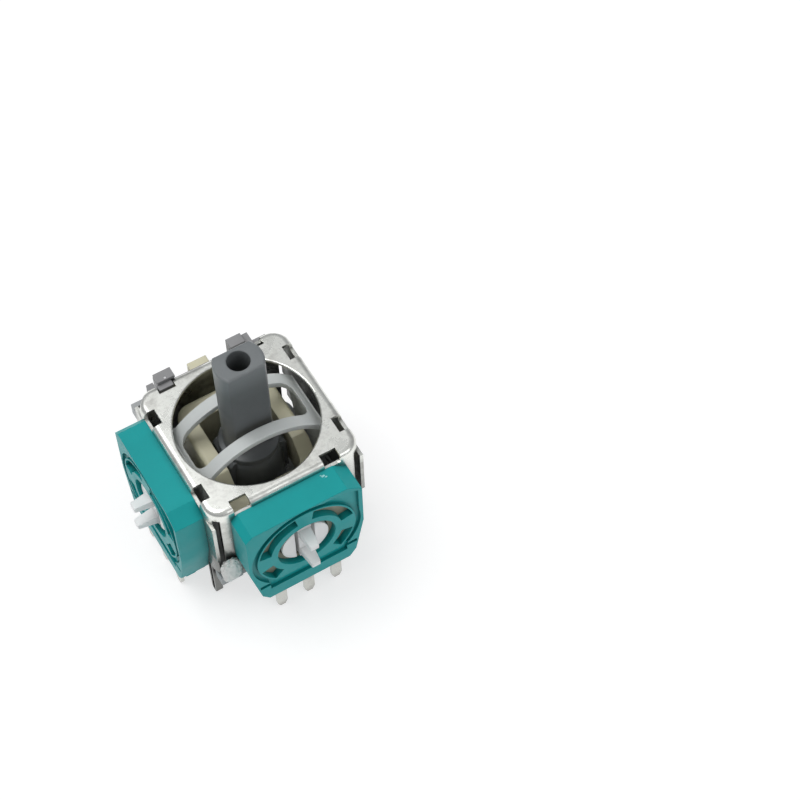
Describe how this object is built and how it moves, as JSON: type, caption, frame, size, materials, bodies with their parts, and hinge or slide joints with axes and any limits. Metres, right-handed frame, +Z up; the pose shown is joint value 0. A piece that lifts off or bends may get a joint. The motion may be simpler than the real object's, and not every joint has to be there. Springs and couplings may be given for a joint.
{
  "type": "controller analog stick module",
  "caption": "Two-axis analog stick with a folded steel frame, a tilting shaft between crossed arms, potentiometers on adjacent sides and a push switch behind.",
  "frame": {"origin": "on the stem's axis at the surface of the circuit board that the pegs stand on", "axes": "+Z up the stem; the front potentiometer on -Y, the side potentiometer on -X, the push switch on +Y"},
  "size_m": [0.0182, 0.0222, 0.0222],
  "materials": {
    "steel_sheet": "satin, lightly worn",
    "grey_plastic": "matte",
    "dark_plastic": "matte",
    "clear_nylon": "slightly translucent",
    "cream_nylon": "satin",
    "teal_plastic": "satin",
    "resistor_board": "matte",
    "tinned": "satin",
    "white_plastic": "satin",
    "contact_metal": "satin",
    "seat_plastic": "matte",
    "spring_steel": "bright",
    "black_plastic": "matte",
    "button_plastic": "matte",
    "guide_plastic": "matte"
  },
  "bodies": {
    "frame": {"cover": "steel_sheet", "base": "grey_plastic", "pot_y_housing": "teal_plastic", "pot_y_wafer": "resistor_board", "pot_y_terminals": "tinned", "pot_x_housing": "teal_plastic", "pot_x_wafer": "resistor_board", "pot_x_terminals": "tinned", "switch_body": "black_plastic", "switch_cover": "steel_sheet", "switch_dome": "spring_steel", "switch_terminals": "tinned", "switch_guide": "guide_plastic", "return_spring": "spring_steel"},
    "front_rotor": {"pot_y_rotor": "white_plastic", "pot_y_wiper": "contact_metal"},
    "rocker": {"lower_arm": "cream_nylon"},
    "stick": {"stem": "dark_plastic"},
    "arch": {"upper_arm": "clear_nylon", "pot_x_rotor": "white_plastic", "pot_x_wiper": "contact_metal"},
    "button": {"switch_button": "button_plastic"},
    "seat": {"spring_seat": "seat_plastic"}
  },
  "joints": [
    {"name": "tilt_x", "type": "hinge", "parent": "frame", "child": "front_rotor", "pos_m": [0, 0, 0.0061], "axis": [0, 1, 0], "range_deg": [-18, 18], "stiffness_Nm_per_rad": 0.004},
    {"name": "press", "type": "hinge", "parent": "front_rotor", "child": "rocker", "pos_m": [0, -0.0068, 0.0061], "axis": [-1, 0, 0], "range_deg": [0, 1.5], "stiffness_Nm_per_rad": 0.6, "springref_deg": -1.15},
    {"name": "tilt_y", "type": "hinge", "parent": "rocker", "child": "stick", "pos_m": [0, 0, 0.0061], "axis": [1, 0, 0], "range_deg": [-18, 18], "stiffness_Nm_per_rad": 0.004},
    {"name": "arch_turn", "type": "hinge", "parent": "frame", "child": "arch", "pos_m": [0, 0, 0.0061], "axis": [1, 0, 0], "range_deg": [-18.5, 18.5]},
    {"name": "button_push", "type": "slide", "parent": "frame", "child": "button", "axis": [0, 0, -1], "range_m": [0, 0.0004]},
    {"name": "seat_drop", "type": "slide", "parent": "frame", "child": "seat", "axis": [0, 0, -1], "range_m": [0, 0.0002], "deforming": ["return_spring"]}
  ],
  "couplings": [
    {"joint": "arch_turn", "follows": "tilt_y", "ratio": 1},
    {"joint": "button_push", "follows": "press", "m_per_rad": 0.0148},
    {"joint": "seat_drop", "follows": "press", "m_per_rad": 0.007}
  ]
}
